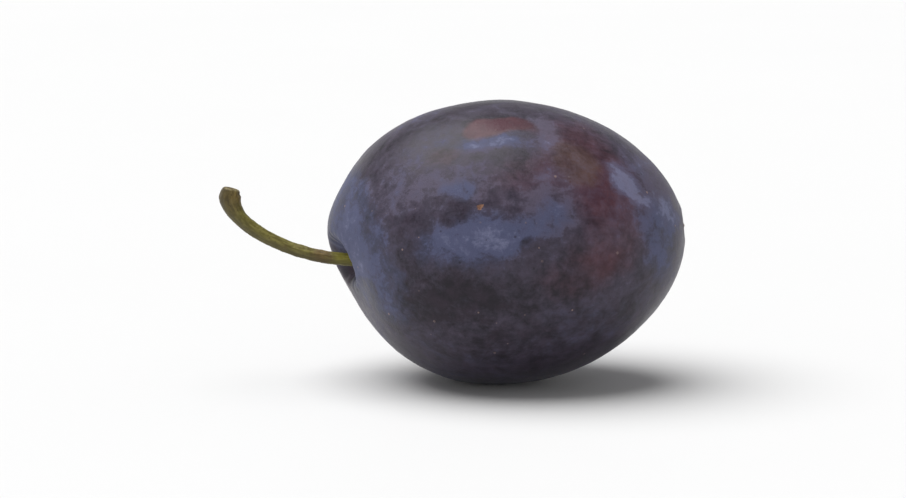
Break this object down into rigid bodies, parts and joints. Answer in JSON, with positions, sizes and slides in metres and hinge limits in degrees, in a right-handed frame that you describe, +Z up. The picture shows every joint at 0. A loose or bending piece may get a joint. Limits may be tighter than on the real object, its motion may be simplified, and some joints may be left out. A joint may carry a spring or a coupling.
{
  "type": "plum",
  "caption": "Dark blue-violet oval plum with a waxy bloom and its curved green stalk, lying on its side on a small flat spot.",
  "frame": {"origin": "centre of the small flat spot on the underside that the fruit rests on", "axes": "+X along the fruit from the stalk end towards the blossom end, +Z up, +Y to the side that carries the suture"},
  "size_m": [0.0596, 0.0373, 0.0363],
  "materials": {
    "plum_skin": "smooth dark violet skin under a patchy blue-grey waxy bloom",
    "plum_stem": "satin olive green, browner towards both ends"
  },
  "bodies": {
    "root": {"fruit": "plum_skin", "stem": "plum_stem"}
  },
  "joints": []
}
